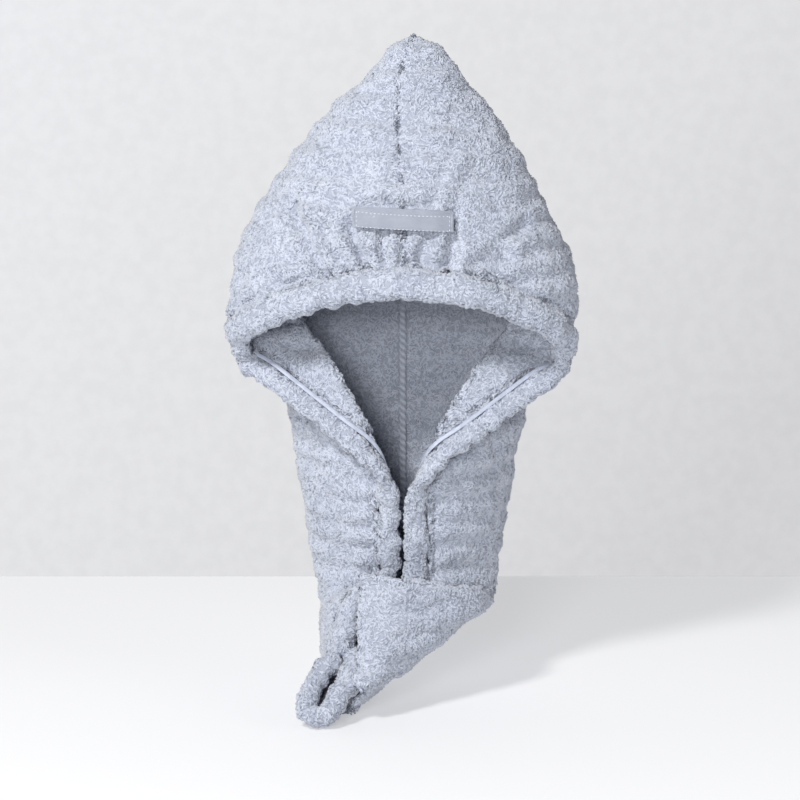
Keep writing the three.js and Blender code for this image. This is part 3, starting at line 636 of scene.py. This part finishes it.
def woven_material(name):
    material, nodes, links, finish = new_material(name, 0.8)
    where = nodes.new("ShaderNodeTexCoord")
    rows = []
    for direction in ("X", "Z"):
        wave = nodes.new("ShaderNodeTexWave")
        wave.bands_direction = direction
        wave.inputs["Scale"].default_value = weave_grain
        wave.inputs["Distortion"].default_value = 0.6
        wave.inputs["Detail"].default_value = 1
        links.new(where.outputs["Object"], wave.inputs["Vector"])
        rows.append(wave.outputs["Fac"])
    weave = nodes.new("ShaderNodeMath")
    weave.operation = "MULTIPLY"
    links.new(rows[0], weave.inputs[0])
    links.new(rows[1], weave.inputs[1])
    shade = ramp(nodes, links, weave.outputs["Value"], [(0.0, band_dark), (0.6, band_light)])
    patches = object_noise(nodes, links, wear_grain, 2)
    wear = ramp(nodes, links, patches.outputs["Fac"], [(0.3, worn_patch), (0.7, unchanged)])
    links.new(multiplied(nodes, links, shade, wear), finish.inputs["Base Color"])
    bump(nodes, links, finish, weave.outputs["Value"], thread_relief)
    return material


woven = woven_material("woven tab")
tab_fold, stitch_groove = 0.0013, 0.0006
tab_edge_round = 0.0004
tab_sharp_edge = math.radians(50)
facing_front = -0.7
band_shape = joined_shape("strap")
band_front = [face for face in band_shape.faces if face.normal.y < facing_front]
bmesh.ops.inset_region(band_shape, faces=band_front, thickness=tab_fold, use_even_offset=True)
bmesh.ops.inset_region(band_shape, faces=band_front, thickness=stitch_groove, depth=-stitch_groove)
bmesh.ops.bevel(
    band_shape,
    geom=[edge for edge in band_shape.edges if edge.calc_face_angle(0) > tab_sharp_edge],
    offset=tab_edge_round,
    segments=2,
    profile=0.5,
    affect="EDGES",
    material=-1,
)
bmesh.ops.recalc_face_normals(band_shape, faces=band_shape.faces)
band = subdivided(finished("tab_band", band_shape, woven), 2)
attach(band, "root")
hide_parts("strap")

# The stitches along the tab's four edges
thread = satin_material("thread", (0.60, 0.63, 0.71), (0.74, 0.77, 0.84))
band_tree = tree_of([band.data])
band_middle, band_slope = -0.0496, -0.05
stitch_pitch, stitch_length, stitch_width = 0.0027, 0.0019, 0.0005
row_reach, row_half_height = 0.0312, 0.0046
before_hood = -0.3
stitch_shape = bmesh.new()


def stitch_at(across, above, turn):
    """One stitch on the tab's front, a flattened bead that lies along its row."""
    up = band_middle + band_slope * across + above
    hit = band_tree.ray_cast(Vector((across, before_hood, up)), Vector((0, 1, 0)))[0]
    if hit is None:
        return
    size = Matrix.Diagonal((stitch_length, stitch_width, stitch_width, 1))
    place = Matrix.Translation(hit) @ Matrix.Rotation(turn, 4, "Y") @ size
    bmesh.ops.create_uvsphere(stitch_shape, u_segments=6, v_segments=4, radius=0.5, matrix=place)


steps = int(row_reach / stitch_pitch)
for step in range(-steps, steps + 1):
    for above in (-row_half_height, row_half_height):
        stitch_at(step * stitch_pitch, above, 0)
for end in (-row_reach, row_reach):
    for step in (-1.5, -0.5, 0.5, 1.5):
        stitch_at(end, step * stitch_pitch, math.radians(90))
stitches = finished("tab_stitches", stitch_shape, thread)
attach(stitches, "root")

# The studio: a pale floor that ends behind the towel, a pale wall beyond it that is darker towards the lower
# right, a soft light from the upper left in front, and weak ones from straight ahead and from the right.
floor_level = cad_box[0].z - 0.0012
floor_half_width, floor_half_length, floor_back = 2.6, 1.6, 0.297
floor_shape = bmesh.new()
bmesh.ops.create_grid(floor_shape, x_segments=1, y_segments=1, size=1.0)
bmesh.ops.scale(floor_shape, vec=(floor_half_width, floor_half_length, 1), verts=floor_shape.verts)
floor_place = (0, floor_back - floor_half_length, floor_level)
bmesh.ops.translate(floor_shape, vec=floor_place, verts=floor_shape.verts)
floor_material, nodes, links, finish = new_material("studio floor", 0.7)
finish.inputs["Base Color"].default_value = (0.60, 0.605, 0.62, 1)
finish.inputs["Emission Color"].default_value = (1.0, 1.0, 1.0, 1)
finish.inputs["Emission Strength"].default_value = 0.34
floor = finished("floor", floor_shape, floor_material)


def soft_light(name, place, size, watts, colour):
    light_data = bpy.data.lights.new(name, "AREA")
    light_data.size = size
    light_data.energy = watts
    light_data.color = colour
    light = bpy.data.objects.new(name, light_data)
    light.location = place
    light.rotation_euler = (aim - Vector(place)).to_track_quat("-Z", "Y").to_euler()
    bpy.context.scene.collection.objects.link(light)


soft_light("key light", (-0.95, -1.55, 1.4), 0.36, 38, (1.0, 0.99, 0.975))
soft_light("front light", (-0.4, -2.5, 0.5), 0.6, 32, (1.0, 1.0, 1.0))
soft_light("side light", (1.9, -0.9, 0.6), 1.0, 6, (0.97, 0.98, 1.0))

room = bpy.data.worlds.new("studio")
room.use_nodes = True
nodes, links = room.node_tree.nodes, room.node_tree.links
where = nodes.new("ShaderNodeTexCoord")


def mapped(value, lowest, highest, to_lowest=0.0, to_highest=1.0):
    span = nodes.new("ShaderNodeMapRange")
    span.inputs["From Min"].default_value = lowest
    span.inputs["From Max"].default_value = highest
    span.inputs["To Min"].default_value = to_lowest
    span.inputs["To Max"].default_value = to_highest
    links.new(value, span.inputs["Value"])
    return span.outputs["Result"]


down_right = (1.0, 0.0, -0.9)
across = nodes.new("ShaderNodeVectorMath")
across.operation = "DOT_PRODUCT"
across.inputs[1].default_value = down_right
links.new(where.outputs["Generated"], across.inputs[0])
wall_shades = [(0.0, (0.85, 0.857, 0.88)), (0.66, (0.755, 0.757, 0.77)), (1.0, (0.66, 0.66, 0.675))]
wall = ramp(nodes, links, mapped(across.outputs["Value"], 0.02, 0.28), wall_shades)
plaster = nodes.new("ShaderNodeTexNoise")
plaster.inputs["Scale"].default_value = 330
plaster.inputs["Detail"].default_value = 2
links.new(where.outputs["Generated"], plaster.inputs["Vector"])
plaster_dip = (0.965, 0.965, 0.965)
grain = ramp(nodes, links, plaster.outputs["Fac"], [(0.35, plaster_dip), (0.65, unchanged)])
links.new(multiplied(nodes, links, wall, grain), nodes["Background"].inputs["Color"])

# The wall is brightest straight behind the towel, and the room is dimmer on the camera's side
apart = nodes.new("ShaderNodeSeparateXYZ")
links.new(where.outputs["Generated"], apart.inputs["Vector"])
brightness = mapped(apart.outputs["Y"], -0.1, 0.93, 0.22, 1.0)
links.new(brightness, nodes["Background"].inputs["Strength"])
bpy.context.scene.world = room
bpy.context.scene.view_settings.view_transform = "Standard"
